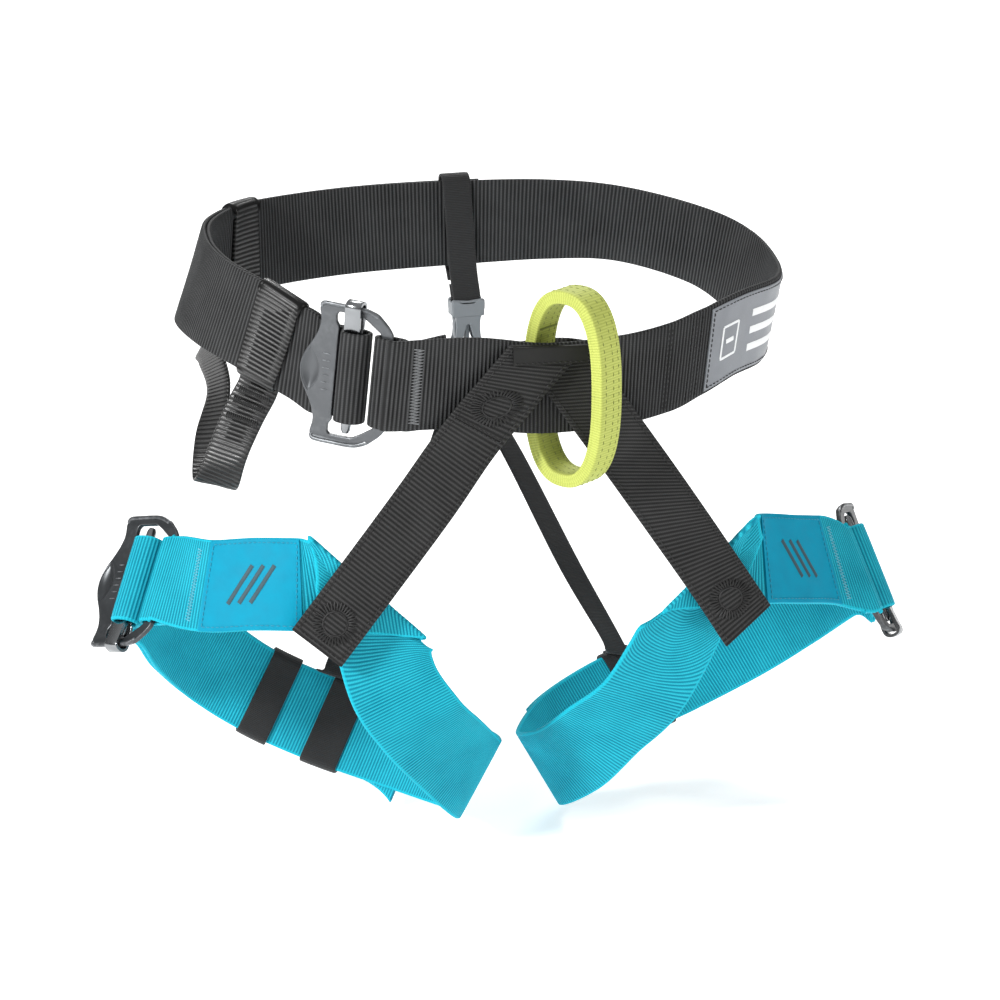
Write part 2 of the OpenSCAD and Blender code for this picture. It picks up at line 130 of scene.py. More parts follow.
left_path = LEFT.stations(FIXED) + [
    [160, -76, -126, -4, 7, 21], [138, -90, -119, -3, 7, 21], [120, -100, -114, -2, 6, 21.5],
    [106, -107, -111.5, 7, 5.5, 22], [96, -112, -110, 16, 4.5, 21.5],
    [86, -115.5, -109, 24, 3.5, 20.5],
    [85.2, -114.8, -109.9, 24, 3.5, 20.5], [85.7, -112.4, -110.6, 24, 3.5, 20.5],
    [80.5, -112.5, -121, 23.5, 2.5, 13], [74, -112, -136, 22, 1, 4],
    [55, -105, -176, 21, 0, -7], [37, -90, -200, 18.5, -2, -11],
    [26, -71, -220, 14.5, -2, -16], [19, -42, -234, 10.5, -4, -19.5],
    [42, -4, -232, 10, -6, -19.5], [74, 12, -222, 10, -7, -19.5], [112, 24, -214, 11, -7, -18],
    [146, 19, -197, 10, -7, -20], [169, 3, -176, 9.5, -8, -20], [185, -20, -154, 7, -9, -19],
    LEFT.station(-20.5, -11, -1), LEFT.station(-14.5, -6.8, -1), LEFT.station(-9.7, -5.4, -1)]
riser_right_path = [
    [1, -117, 8.5, -20.6, 0, 1.5], [-18, -117.5, -12, -19, 1, 5],
    [-39, -118.5, -35, -13, 2, 9], [-61, -119.5, -64, -11, 5, 9],
    [-89, -117.5, -101, -11, 5, 9], [-114, -115, -134, -11, 5, 9]]
riser_left_path = [
    [2.5, -114.5, 7, 19, 0, 0], [16.9, -114.6, -13, 19, 0, 0], [50, -118, -61, 18, 0, -1.5],
    [85.6, -119.5, -114, 14, 2, 5], [103, -119.5, -141, 10.6, 1, 8.5]]
gear_path = [
    [-128.2, -58.5, -18.8, -8, 6, 3.4], [-134.5, -56, -32, -8, 6, 2.5],
    [-142, -54, -50, -7.5, 6.5, 2], [-145.5, -49.5, -64, -7.5, 4, 3],
    [-146.5, -44, -69, -8.5, 0.5, 3], [-146, -38, -67, -8.5, 3, 0],
    [-144, -27, -48, -6, 8, -2.5], [-137, -12, -30, -3, 9.5, -4], [-136, 10, -20, -2, 9.5, -5],
    [-132, 36, -19, -1, 8, -7], [-118, 64, -20, 2, 7, -8], [-103, 82, -17, 5, 8.5, -5],
    [-98, 87, -12, 7, 7, 0]]
elastic_left_path = [
    [23.5, 107, -69.6, 6, 1, 0], [25.5, 104.6, -74, 6, 2, -1], [40.5, 80, -105, 6, 2, -1],
    [60.5, 44, -156, 6, 2, 0], [77.5, 19.5, -193, 6, 2, -2]]
elastic_right_path = [
    [20, 103, -69.6, -6, 1, 0], [17, 100.6, -74, -6, 2, -1], [-6, 76, -112, -6, 3, -1],
    [-42, 44, -163, -6, 2, 1], [-69, 23.5, -193, -6, 2, 2]]
tab_path = [[19.5 + 0.07 * (14 - z), y, z, 7.5, 0, 0] for y, z in
            [(112.4, -17), (114, -13), (116.6, -6), (116.6, 14), (116.8, 33), (115.5, 38.2),
             (111.8, 39.8), (108.7, 37.8), (107.7, 33), (107.7, 14), (107.7, -6), (106.8, -14),
             (104.8, -21), (103.65, -26), (103.8, -29.6), (106, -31.4), (108.2, -29.6),
             (108.4, -25), (110, -18.5)]]
hem_path = [[-17, -119, 4.5, 0, 0, 4], [2, -119.2, 4, 0, 0, 4], [20, -119, 3.4, 0, 0, 4]]
flap_path = [
    [-34, -108.6, -12, 0, 0, 1], [-24, -105, -12.5, 0, 0, 1], [-14, -93, -13, 0, 0, 1],
    [2, -87, -13, 0, 0, 1], [18, -88, -13, 0, 0, 1], [30, -99, -13, 0, 0, 1],
    [40, -105.5, -13, 0, 0, 1]]
PLUG_AT = np.array([22.5, 106, -25])


# ---- Ribbon geometry -----------------------------------------------------------------------
def spline(p, t):
    """Catmull-Rom value and tangent of the stations p at the parameters t."""
    p, t = np.asarray(p, float), np.atleast_1d(np.asarray(t, float))
    q = np.vstack([2 * p[0] - p[1], p, 2 * p[-1] - p[-2]])
    i = np.clip(np.floor(t).astype(int), 0, len(p) - 2)
    f = (t - i)[:, None]
    a, b, c, d = q[i], q[i + 1], q[i + 2], q[i + 3]
    k2, k3 = 2 * a - 5 * b + 4 * c - d, 3 * b - 3 * c + d - a
    value = 0.5 * (2 * b + (c - a) * f + k2 * f ** 2 + k3 * f ** 3)
    return value, c - a + 2 * k2 * f + 3 * k3 * f ** 2


def rings(p, t, w):
    """Centre, half-width vector and unit normal of a strap at the parameters t."""
    s, d = spline(p, t)
    c, h, d = s[:, :3], s[:, 3:], unit(d[:, :3])
    hp = h - (h * d).sum(1)[:, None] * d
    size = np.linalg.norm(h, axis=1)
    f = np.clip((size - 26) / 8, 0, 1)
    k = w / 2 / np.maximum(np.linalg.norm(hp, axis=1), 0.55 * size)
    return c, h * (k * (1 - f) + f)[:, None], unit(np.cross(d, h))


class Strap:
    """A strap along part of a path, measured in mm along (s) and across (v)."""

    def __init__(self, path, w, t, off=0.0, t0=0.0, t1=None, slip=0.0, us=0.0):
        self.path, self.w, self.t, self.off = np.array(path, float), w, t, off
        self.t0, self.slip, self.us = t0, slip, us
        t1 = len(path) - 1 if t1 is None else t1
        self.u = np.linspace(t0, t1, int((t1 - t0) * 60) + 2)
        c, _, n = rings(self.path, self.u, w)
        c = c + off * n
        self.s = np.concatenate([[0], np.cumsum(np.linalg.norm(np.diff(c, axis=0), axis=1))])
        self.length = float(self.s[-1])

    def at(self, s):
        u = np.interp(s, self.s, self.u)
        c, h, n = rings(self.path, u, self.w)
        k = self.slip * (np.maximum(0, self.us - u) / max(0.01, self.us - self.t0)) ** 2
        return c + k[:, None] * unit(h), h, n

    def s_of(self, u):
        return float(np.interp(u, self.u, self.s))

    def spot(self, s, v, lift=0.0, side=1):
        """Points on the strap's face and its normals: side 1 is the normal's side."""
        c, h, n = self.at(np.atleast_1d(s))
        v = np.atleast_1d(v)[:, None]
        return c + h * (2 * v / self.w) + n * (self.off + side * (self.t / 2 + lift)), n * side


def section(w, t, cols, r=0.85):
    """Closed loop across a strap: place across -1..1, height in mm, rib weight -1..1."""
    e = 1 - 2 * r / w
    top = np.linspace(-e, e, cols)
    fade = np.clip((1 - np.abs(top)) * w / 2 / 2.2, 0.25, 1)
    arc = np.radians([60, 20, -20, -60])
    edge_v = e + (1 - e) * np.cos(arc)
    edge_n = t / 2 * np.sin(arc)
    v = np.concatenate([top, edge_v, top[::-1], -edge_v[::-1]])
    n = np.concatenate([np.full(cols, t / 2), edge_n, np.full(cols, -t / 2), edge_n[::-1]])
    k = np.concatenate([fade, 0.25 * np.sin(arc), -fade[::-1], 0.25 * np.sin(arc)[::-1]])
    return v, n, k


def rib(s, pitch):
    """Rounded ribs across a strap, -1 in the valleys and 1 on the ridges."""
    return 2 * np.abs(np.sin(np.pi * s / pitch)) ** RIB_POWER - 1


def cloth_uv(s, v):
    """Length along and place across a strap, in mm, as a map in units of 100 mm."""
    return np.stack(np.broadcast_arrays(s, v), -1) / 100


def strap_grid(st, s0, s1, pitch, amp, cols, shear=None):
    """Rows of points round a strap from s0 to s1, with its ribs, and their map."""
    n = max(3, int(round((s1 - s0) / pitch * ROWS_PER_RIB)) + 1)
    s = np.linspace(s0, s1, n)
    c, h, nn = st.at(s)
    v, z, k = section(st.w, st.t, cols)
    flat = np.repeat(s[:, None], len(v), 1)
    if shear is not None:
        flat = shear(s, v, c, h)
    height = st.off + z[None, :] + k[None, :] * amp * rib(flat, pitch)
    p = c[:, None] + h[:, None] * v[None, :, None] + nn[:, None] * height[..., None]
    return p, cloth_uv(flat, v[None] * st.w / 2)


def fold_lengths(s, v, c, h):
    """True length along each yarn through a diagonal fold, so ribs keep square to the strap."""
    p = c[:, None] + h[:, None] * v[None, :, None]
    step = np.linalg.norm(np.diff(p, axis=0), axis=2)
    flat = s[0] + np.vstack([np.zeros(len(v)), np.cumsum(step, 0)])
    rest = flat[-1] - s[-1]
    k = np.clip((s - s[0]) / (s[-1] - s[0]) * 2 - 1, 0, 1)
    return flat - (k * k * (3 - 2 * k))[:, None] * rest[None, :]


# ---- Meshes --------------------------------------------------------------------------------
def new_object(name, data):
    ob = bpy.data.objects.new(name, data)
    bpy.context.scene.collection.objects.link(ob)
    return ob


class Shape:
    """Vertices and faces gathered into one piece."""

    def __init__(self):
        self.v, self.f, self.uv, self.count = [], [], [], 0

    def add(self, verts, faces, uv=None):
        verts = np.asarray(verts, float).reshape(-1, 3)
        self.v.append(verts)
        self.uv.append(np.zeros((len(verts), 2)) if uv is None else np.asarray(uv).reshape(-1, 2))
        self.f += [[i + self.count for i in f] for f in faces]
        self.count += len(verts)
        return self

    def loft(self, p, uv=None, caps=(True, True), closed=False):
        """Rows of closed sections, joined one to the next."""
        n, m = p.shape[:2]
        i = np.arange(n if closed else n - 1)[:, None]
        j = np.arange(m)[None, :]
        a, b = i * m + j, i * m + (j + 1) % m
        c, d = ((i + 1) % n) * m + (j + 1) % m, ((i + 1) % n) * m + j
        faces = np.stack([a, d, c, b], -1).reshape(-1, 4).tolist()
        if not closed and caps[0]:
            faces.append(list(range(m)))
        if not closed and caps[1]:
            faces.append([n * m - 1 - q for q in range(m)])
        return self.add(p, faces, uv)

    def tube(self, points, r, sides=6, closed=False, squash=1.0, up=(0.13, 0.31, 0.94), ends=1.0):
        """A round cord through points; r may be one radius for each point."""
        p = np.asarray(points, float)
        d = np.roll(p, -1, 0) - np.roll(p, 1, 0) if closed else np.gradient(p, axis=0)
        d = unit(d)
        x = unit(np.cross(d, up))
        y = np.cross(x, d)
        r = np.broadcast_to(np.asarray(r, float), (len(p),)).copy()
        if not closed and ends < 1:
            r[0] *= ends
            r[-1] *= ends
        a = np.arange(sides) * 2 * np.pi / sides
        rows = (p[:, None] + r[:, None, None] * (x[:, None] * np.cos(a)[None, :, None]
                + squash * y[:, None] * np.sin(a)[None, :, None]))
        return self.loft(rows, closed=closed)

    def build(self, name, mat, slot, body="harness", nodes=(), sharp=50):
        me = bpy.data.meshes.new(name)
        verts = np.vstack(self.v) / 1000
        me.from_pydata(verts.tolist(), [], self.f)
        uv = np.vstack(self.uv)
        layer = me.uv_layers.new(name="strap")
        idx = np.empty(len(me.loops), np.int32)
        me.loops.foreach_get("vertex_index", idx)
        layer.data.foreach_set("uv", uv[idx].astype(np.float32).ravel())
        me.materials.append(mat)
        me.validate()
        me.shade_smooth()
        me.set_sharp_from_angle(angle=math.radians(sharp))
        ob = new_object(name, me)
        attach(ob, body)
        if nodes:
            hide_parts(*nodes)
        return ob


def plate_mesh(outlines, depth, bevel):
    """A flat plate with holes and rounded edges, in its own x, y, z: points and faces."""
    cu = bpy.data.curves.new("outline", "CURVE")
    cu.dimensions, cu.fill_mode = "2D", "BOTH"
    cu.extrude, cu.bevel_depth, cu.offset = depth / 2 - bevel, bevel, -bevel
    cu.bevel_resolution = 2
    for pts in outlines:
        sp = cu.splines.new("POLY")
        sp.points.add(len(pts) - 1)
        for q, (x, y) in zip(sp.points, pts):
            q.co = (x, y, 0, 1)
        sp.use_cyclic_u = True
    ob = new_object("outline", cu)
    me = bpy.data.meshes.new_from_object(ob.evaluated_get(bpy.context.evaluated_depsgraph_get()))
    v = np.array([list(q.co) for q in me.vertices])
    f = [list(q.vertices) for q in me.polygons]
    bpy.data.objects.remove(ob)
    bpy.data.curves.remove(cu)
    bpy.data.meshes.remove(me)
    return v, f


def rounded(corners, r, steps=6):
    """A closed outline with its corners rounded."""
    out, n = [], len(corners)
    for i in range(n):
        a, b, c = (np.array(corners[(i + k) % n], float) for k in (-1, 0, 1))
        u, w = a - b, c - b
        lu, lw = np.linalg.norm(u), np.linalg.norm(w)
        cut = min(r, 0.48 * lu, 0.48 * lw)
        p, q = b + u / lu * cut, b + w / lw * cut
        for k in range(steps + 1):
            f = k / steps
            out.append(tuple((1 - f) ** 2 * p + 2 * f * (1 - f) * b + f * f * q))
    return out


def flipped(faces, side):
    return faces if side > 0 else [f[::-1] for f in faces]


# ---- Thread --------------------------------------------------------------------------------
def dash(shape, p0, p1, n, r=0.24):
    q = np.array([p0 - 0.15 * n, p0 + 0.16 * (p1 - p0) + 0.12 * n, (p0 + p1) / 2 + 0.2 * n,
                  p1 - 0.16 * (p1 - p0) + 0.12 * n, p1 - 0.15 * n])
    shape.tube(q, [0.5 * r, r, 1.1 * r, r, 0.5 * r], sides=5, up=n)


def seam(shape, st, a, b, pitch, side=1, lift=0.05, r=0.24, fill=0.72):
    """Straight stitches on a strap from a = (s, v) to b."""
    a, b = np.array(a, float), np.array(b, float)
    n = max(1, int(round(np.linalg.norm(b - a) / pitch)))
    f = np.arange(n) / n
    (p, m), (q, _) = (st.spot(*(a[:, None] + (b - a)[:, None] * g), lift, side)
                      for g in (f, f + fill / n))
    for i in range(n):
        dash(shape, p[i], q[i], m[i], r)


def zigzag(shape, st, a, b, width, turns, side=1, lift=0.12, r=0.26):
    """A bar tack: thread going to and fro across the line from a = (s, v) to b."""
    a, b = np.array(a, float), np.array(b, float)
    d = (b - a) / np.linalg.norm(b - a)
    e = np.array([-d[1], d[0]]) * width / 2
    k = np.arange(2 * turns)
    q = a + (b - a) * (k / (2 * turns))[:, None] + e * np.where(k % 2, 1, -1)[:, None]
    line = np.empty((2 * len(q) - 1, 2))
    line[0::2], line[1::2] = q, (q[:-1] + q[1:]) / 2
    p, n = st.spot(line[:, 0], line[:, 1], lift, side)
    shape.tube(p, r, sides=5, up=n.mean(0))


def ring_tack(shape, st, s, v, r0, r1, count=34, side=1, lift=0.12, r=0.28):
    """Radial stitches round a point, inside one circle of thread."""
    for k in range(count):
        a = 2 * math.pi * k / count
        ds, dv = math.cos(a), math.sin(a)
        q, n = st.spot([s + r0 * ds, s + r1 * ds], [v + r0 * dv, v + r1 * dv], lift, side)
        dash(shape, q[0], q[1], n[0], r)
    a = np.arange(30) * 2 * math.pi / 30
    q, n = st.spot(s + r0 * 0.9 * np.cos(a), v + r0 * 0.9 * np.sin(a), lift, side)
    shape.tube(q, r, sides=5, closed=True, up=n.mean(0))


# ---- Materials -----------------------------------------------------------------------------
class Nodes:
    """Short names for building a node material."""

    def __init__(self, name):
        self.mat = bpy.data.materials.new(name)
        self.mat.use_nodes = True
        self.t = self.mat.node_tree
        self.t.nodes.clear()
        out = self.t.nodes.new("ShaderNodeOutputMaterial")
        self.bsdf = self.t.nodes.new("ShaderNodeBsdfPrincipled")
        self.t.links.new(self.bsdf.outputs[0], out.inputs[0])

    def put(self, socket, value):
        if isinstance(value, bpy.types.NodeSocket):
            self.t.links.new(value, socket)
        elif isinstance(value, (tuple, list)) and len(value) == 3 and socket.type == "RGBA":
            socket.default_value = (*value, 1)
        else:
            socket.default_value = value

    def set(self, **values):
        for k, value in values.items():
            self.put(self.bsdf.inputs[k.replace("_", " ")], value)
        return self.mat

    def math(self, op, a, b=0.0, c=None, clamp=False):
        n = self.t.nodes.new("ShaderNodeMath")
        n.operation, n.use_clamp = op, clamp
        for socket, value in zip(n.inputs, (a, b, c)):
            if value is not None:
                self.put(socket, value)
        return n.outputs[0]

    def mix(self, f, a, b, kind="MIX"):
        n = self.t.nodes.new("ShaderNodeMix")
        n.data_type, n.blend_type = "RGBA", kind
        self.put(n.inputs["Factor"], f)
        self.put(n.inputs[6], a)
        self.put(n.inputs[7], b)
        return n.outputs[2]

    def ramp(self, f, *stops):
        n = self.t.nodes.new("ShaderNodeMapRange")
        self.put(n.inputs["Value"], f)
        for k, value in zip(("From Min", "From Max", "To Min", "To Max"), stops):
            self.put(n.inputs[k], value)
        return n.outputs[0]

    def noise(self, scale, detail=3.0, stretch=(1, 1, 1)):
        tc = self.t.nodes.new("ShaderNodeTexCoord")
        mp = self.t.nodes.new("ShaderNodeMapping")
        mp.inputs["Scale"].default_value = stretch
        self.t.links.new(tc.outputs["Object"], mp.inputs[0])
        n = self.t.nodes.new("ShaderNodeTexNoise")
        self.t.links.new(mp.outputs[0], n.inputs["Vector"])
        n.inputs["Scale"].default_value = scale
        n.inputs["Detail"].default_value = detail
        return n.outputs[0]

    def strap_uv(self):
        """Length along and across a strap, in mm."""
        n = self.t.nodes.new("ShaderNodeUVMap")
        n.uv_map = "strap"
        s = self.t.nodes.new("ShaderNodeSeparateXYZ")
        self.t.links.new(n.outputs[0], s.inputs[0])
        return self.math("MULTIPLY", s.outputs[0], 100), self.math("MULTIPLY", s.outputs[1], 100)

    def wave(self, x, pitch, phase=0.0):
        """0..1 sine of a length in mm."""
        a = self.math("MULTIPLY_ADD", x, 2 * math.pi / pitch, phase)
        return self.math("MULTIPLY_ADD", self.math("SINE", a), 0.5, 0.5)

    def bump(self, height, distance, strength=1.0):
        n = self.t.nodes.new("ShaderNodeBump")
        n.inputs["Strength"].default_value = strength
        n.inputs["Distance"].default_value = distance
        self.put(n.inputs["Height"], height)
        return n.outputs[0]


def webbing(name, ridge_highlight, valley_shade, pitch, half=WEB_W / 2, edge=None, rough=0.62, sheen=0.15,
            grain=0.8, gloss=0.35, yarn=0.9, power=0.6):
    """Woven strap: ribs across, yarns along, fibres, a selvage line and slight soiling, with
    painted shade in the rib valleys and a painted highlight on the rib ridges.
    """
    m = Nodes(name)
    s, v = m.strap_uv()
    ribs = m.wave(s, pitch, -math.pi / 2)
    # yarns lie side by side over each rib, shifted by half in every other rib
    row = m.math("FLOOR", m.math("DIVIDE", s, pitch))
    shift = m.math("MULTIPLY", m.math("MODULO", row, 2.0), math.pi)
    turn = m.math("MULTIPLY_ADD", v, 2 * math.pi / yarn, shift)
    yarns = m.math("MULTIPLY_ADD", m.math("SINE", turn), 0.5, 0.5)
    fibre = m.noise(2600, 2)
    cloud = m.noise(55, 4)
    weave = m.math("MULTIPLY", m.math("POWER", ribs, power),
                   m.math("MULTIPLY_ADD", yarns, 0.35, 0.65))
    tone = m.math("ADD", m.math("MULTIPLY", weave, 0.75), m.math("MULTIPLY", fibre, 0.3 * grain))
    tone = m.math("MULTIPLY_ADD", m.math("SUBTRACT", cloud, 0.5), 0.35, tone, clamp=True)
    # painted light: the valley colour is painted shade between the ribs and the ridge colour a
    # painted highlight on them
    colour = m.mix(tone, valley_shade, ridge_highlight)
    if edge:
        band = m.math("GREATER_THAN", m.math("ABSOLUTE", v), half - 1.3)
        colour = m.mix(m.math("MULTIPLY", band, 0.75), colour, edge)
    height = m.math("ADD", weave, m.math("MULTIPLY", fibre, 0.7 * grain))
    dull = m.math("ADD", fibre, m.math("MULTIPLY", cloud, 0.5))
    return m.set(Base_Color=colour, Normal=m.bump(height, 0.00012, 0.9),
                 Roughness=m.ramp(dull, 0.3, 1.2, rough - 0.1, rough + 0.12),
                 Sheen_Weight=sheen, Sheen_Roughness=0.45, Specular_IOR_Level=gloss)


def smooth_cloth(name, colour_a, colour_b, rough=0.45, gloss=0.4, sheen=0.1):
    """Fine, flat-woven label cloth."""
    m = Nodes(name)
    s, v = m.strap_uv()
    fine = m.math("MULTIPLY", m.wave(s, 0.55), m.wave(v, 0.55))
    cloud = m.noise(120, 4)
    tone = m.math("MULTIPLY_ADD", fine, 0.35, m.math("MULTIPLY", cloud, 0.75), clamp=True)
    return m.set(Base_Color=m.mix(tone, colour_a, colour_b), Normal=m.bump(fine, 0.00004, 0.8),
                 Roughness=m.ramp(cloud, 0.3, 0.7, rough - 0.06, rough + 0.08),
                 Sheen_Weight=sheen, Specular_IOR_Level=gloss)


def thread(name, colour):
    m = Nodes(name)
    twist = m.noise(3500, 2)
    return m.set(Base_Color=m.mix(twist, tuple(0.55 * c for c in colour), colour), Roughness=0.6,
                 Normal=m.bump(twist, 0.00006, 0.7))


def metal(name, colour, rough, metallic=1.0, coat=0.0, wear=None, grain=0.00002):
    m = Nodes(name)
    cloud, fine = m.noise(70, 5), m.noise(1800, 3, stretch=(1, 1, 0.25))
    tint = m.mix(cloud, tuple(0.82 * c for c in colour), tuple(min(1, 1.12 * c) for c in colour))
    if wear:
        geo = m.t.nodes.new("ShaderNodeNewGeometry")
        edge = m.ramp(geo.outputs["Pointiness"], 0.52, 0.6, 0.0, 1.0)
        edge = m.math("MULTIPLY", edge, m.ramp(m.noise(400, 4), 0.4, 0.7, 0.2, 1.0), clamp=True)
        tint = m.mix(edge, tint, wear)
    dull = m.math("ADD", m.math("MULTIPLY", cloud, 0.7), m.math("MULTIPLY", fine, 0.3))
    return m.set(Base_Color=tint, Metallic=metallic, Normal=m.bump(fine, grain, 0.6),
                 Roughness=m.ramp(dull, 0.3, 0.7, rough - 0.05, rough + 0.08),
                 Coat_Weight=coat, Coat_Roughness=0.25)


def moulded(name, colour, rough=0.42):
    m = Nodes(name)
    grain, cloud = m.noise(1500, 2), m.noise(60, 3)
    tint = m.mix(cloud, tuple(0.85 * c for c in colour), tuple(1.1 * c for c in colour))
    return m.set(Base_Color=tint, Normal=m.bump(grain, 0.00003, 0.6),
                 Roughness=m.ramp(grain, 0.3, 0.7, rough - 0.05, rough + 0.08),
                 Specular_IOR_Level=0.45)


def grey(x):
    return (x, x, x)


# each webbing's first colour is its rib ridges with a painted highlight, its second the rib valleys
# in painted shade
BELT = webbing("belt_web", (0.078, 0.080, 0.082), grey(0.0006), 2.0,
               sheen=0.0, gloss=0.2, power=1.6)
RISER = webbing("riser_web", grey(0.052), grey(0.001), 2.2, half=15, grain=1.1,
                sheen=0.0, gloss=0.2, power=1.4)
BLUE = webbing("leg_web", (0.03, 0.60, 0.74), (0.0, 0.17, 0.26), 1.6, edge=(0.01, 0.48, 0.62),
               rough=0.6, sheen=0.0, yarn=0.8, gloss=0.12, grain=0.5, power=1.0)
GEAR = webbing("gear_web", grey(0.045), grey(0.0), 2.3, half=10.5, rough=0.3,
               gloss=0.4, power=2.2, sheen=0.0, grain=0.4)
GEAR_WRAP = webbing("gear_wrap_web", grey(0.10), grey(0.0), 2.3, half=12, power=2.2,
                    rough=0.3, gloss=0.3, sheen=0.0, grain=0.4)
ELASTIC = webbing("elastic_web", (0.020, 0.020, 0.021), grey(0.008), 0.9, half=6.5,
                  rough=0.7, yarn=0.7, sheen=0.2)
LIME = webbing("lime_web", (0.58, 0.64, 0.15), (0.37, 0.42, 0.07), 1.3, half=LOOP_W / 2, rough=0.66,
               sheen=0.1, yarn=0.8, grain=1.0)
LABEL_GREY = smooth_cloth("label_grey", (0.16, 0.172, 0.188), (0.27, 0.285, 0.31), 0.42)
LABEL_BLUE = smooth_cloth("label_blue", (0.0, 0.23, 0.37), (0.0, 0.33, 0.50), 0.5,
                          gloss=0.12, sheen=0.0)
BINDING = smooth_cloth("binding_black", grey(0.003), grey(0.006), 0.32,
                       gloss=0.25, sheen=0.0)
HEM = smooth_cloth("hem_black", grey(0.014), (0.022, 0.022, 0.021), 0.5,
                   gloss=0.2, sheen=0.0)
MARK_WHITE = smooth_cloth("mark_white", (0.75, 0.77, 0.78), grey(0.9), 0.5)
MARK_DARK = smooth_cloth("mark_dark", (0.012, 0.05, 0.07), (0.02, 0.075, 0.10), 0.5)
BLACK_THREAD = thread("thread_black", grey(0.012))
GREY_THREAD = thread("thread_grey", (0.30, 0.31, 0.32))
BLUE_THREAD = thread("thread_blue", (0.02, 0.34, 0.50))
PALE_THREAD = thread("thread_pale_blue", (0.16, 0.60, 0.74))
DARK_THREAD = thread("thread_dark_green", (0.28, 0.33, 0.08))
STEEL = metal("frame_grey", (0.095, 0.101, 0.108), 0.40, metallic=0.6, coat=0.25,
              wear=(0.42, 0.44, 0.46))
GUNMETAL = metal("frame_dark", (0.042, 0.046, 0.050), 0.36, metallic=0.6, coat=0.2,
                 wear=(0.35, 0.36, 0.38))
CHROME = metal("chrome", (0.27, 0.28, 0.29), 0.2, grain=0.000006)
PLASTIC = moulded("grey_plastic", (0.20, 0.215, 0.23))


# ---- Straps --------------------------------------------------------------------------------
# each cloth's slot, and the pitch and height of its ribs
CLOTH = {BELT: ("belt_webbing", 2.0, 0.28), BLUE: ("leg_webbing", 1.6, 0.16),
         RISER: ("belt_webbing", 2.2, 0.12), HEM: ("belt_webbing", 1.8, 0.0),
         GEAR: ("gear_webbing", 2.3, 0.3), GEAR_WRAP: ("gear_webbing", 2.3, 0.3),
         ELASTIC: ("elastic", 0.9, 0.04)}


def weave_strap(name, st, mat, node, body="harness", fold=None, amp=None):
    """One strap's mesh; fold = (u0, u1) is the stretch with a diagonal fold."""
    slot, pitch, height = CLOTH[mat]
    amp = height if amp is None else amp
    sh = Shape()
    if fold:
        a, b = (round(st.s_of(u) / pitch) * pitch for u in fold)
        parts = [(0, a, COLS, None), (a, b, FOLD_COLS, fold_lengths), (b, st.length, COLS, None)]
    else:
        parts = [(0, st.length, COLS, None)]
    for i, (s0, s1, c, shear) in enumerate(parts):
        p, uv = strap_grid(st, s0, s1, pitch, amp, c, shear)
        sh.loft(p, uv, caps=(i == 0, i == len(parts) - 1))
    return sh.build(name, mat, slot, body, [node], sharp=75)


def wrap(name, path, lo, hi, t, u0, u1, mat, body, node, slant=0):
    """A band sewn round a strap: its rows go round the strap's section."""
    slot, pitch, amp = CLOTH[mat]
    w = WEB_W + 1
    hw, mid, r = w / 2 + t / 2, (lo + hi) / 2, (hi - lo) / 2 + t / 2
    straight = 2 * (hw - r)
    half = straight + math.pi * r
    n = int(round(2 * half / pitch * ROWS_PER_RIB))
    q = np.arange(n) / n * 2 * half
    x, back = q % half, np.where(q < half, 1, -1)
    a = np.maximum(x - straight, 0) / r
    oh, oz = back * np.sin(a), back * np.cos(a)
    h = back * (np.minimum(x, straight) - straight / 2) + r * oh
    band_w = Strap(path, w, t, t0=u0, t1=u1).length
    v, sn, k = section(band_w, t, 9, 0.6)
    u = u0 + (u1 - u0 + slant * h[:, None] / hw) * (1 - v[None]) / 2
    c, hh, nn = (a.reshape(n, len(v), 3) for a in rings(path, u.ravel(), w))
    hh = unit(hh)
    lift = sn[None] + k[None] * amp * rib(q, pitch)[:, None]
    hq = h[:, None] + oh[:, None] * lift
    zq = mid + oz[:, None] * (r + lift)
    p = c + hh * hq[..., None] + nn * zq[..., None]
    sh = Shape().loft(p, cloth_uv(q[:, None], v[None] * band_w / 2), closed=True)
    sh.build(name, mat, slot, body, [node], sharp=75)


belt = Strap(waist_path, WEB_W, WEB_T)
tail = Strap(waist_path, WEB_W, WEB_T, LAYER, FIRST + 11.8)
weave_strap("belt", belt, BELT, "waist_webbing")
weave_strap("belt_free_end", tail, BELT, "waist_tail")
for name, b, mat, body, node in [
        ("belt_bar_roll", WAIST, BELT, "waist_bar", "waist_bar_wrap"),
        ("leg_bar_roll_right", RIGHT, BLUE, "leg_bar_right", "leg_bar_wrap_right"),
        ("leg_bar_roll_left", LEFT, BLUE, "leg_bar_left", "leg_bar_wrap_left")]:
    weave_strap(name, Strap(b.stations(ROLL), WEB_W, WEB_T), mat, node, body, amp=0.2)

leg_right = Strap(right_path, WEB_W, WEB_T)
leg_left = Strap(left_path, WEB_W, WEB_T)
tail_right = Strap(right_path, WEB_W, WEB_T, -LAYER, len(right_path) - 10, slip=7, us=23.5)
tail_left = Strap(left_path, WEB_W, WEB_T, LAYER, len(left_path) - 9.25)
riser_r = Strap(riser_right_path, RISER_W, RISER_T)
riser_l = Strap(riser_left_path, RISER_W, RISER_T)
gear = Strap(gear_path, GEAR_W, GEAR_T)
